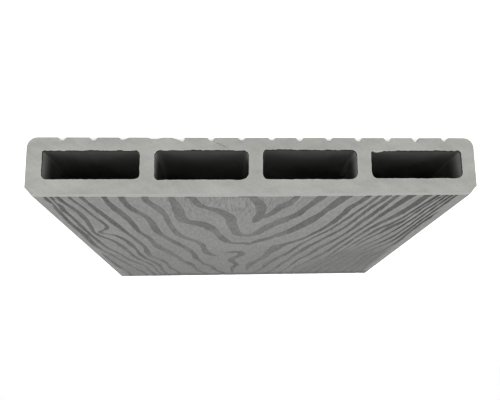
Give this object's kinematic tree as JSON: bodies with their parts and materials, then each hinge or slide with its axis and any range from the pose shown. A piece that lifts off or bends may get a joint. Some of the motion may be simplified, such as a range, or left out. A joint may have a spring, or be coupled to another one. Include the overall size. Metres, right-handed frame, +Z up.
{
  "type": "decking board",
  "caption": "Short length of hollow wood-plastic composite decking board, with embossed wood grain on its upper face and narrow grooves beneath, to be walked on over joists.",
  "frame": {"origin": "middle of the grooved underside's plane, on which the board lies", "axes": "+X across the board, +Y along it and away from the end that the picture shows, +Z up out of the embossed face"},
  "size_m": [0.15, 0.2, 0.02],
  "materials": {
    "composite": "grey wood-plastic composite, embossed and brushed on the upper face, sawn at the ends"
  },
  "bodies": {
    "root": {"decking_board": "composite"}
  },
  "joints": []
}
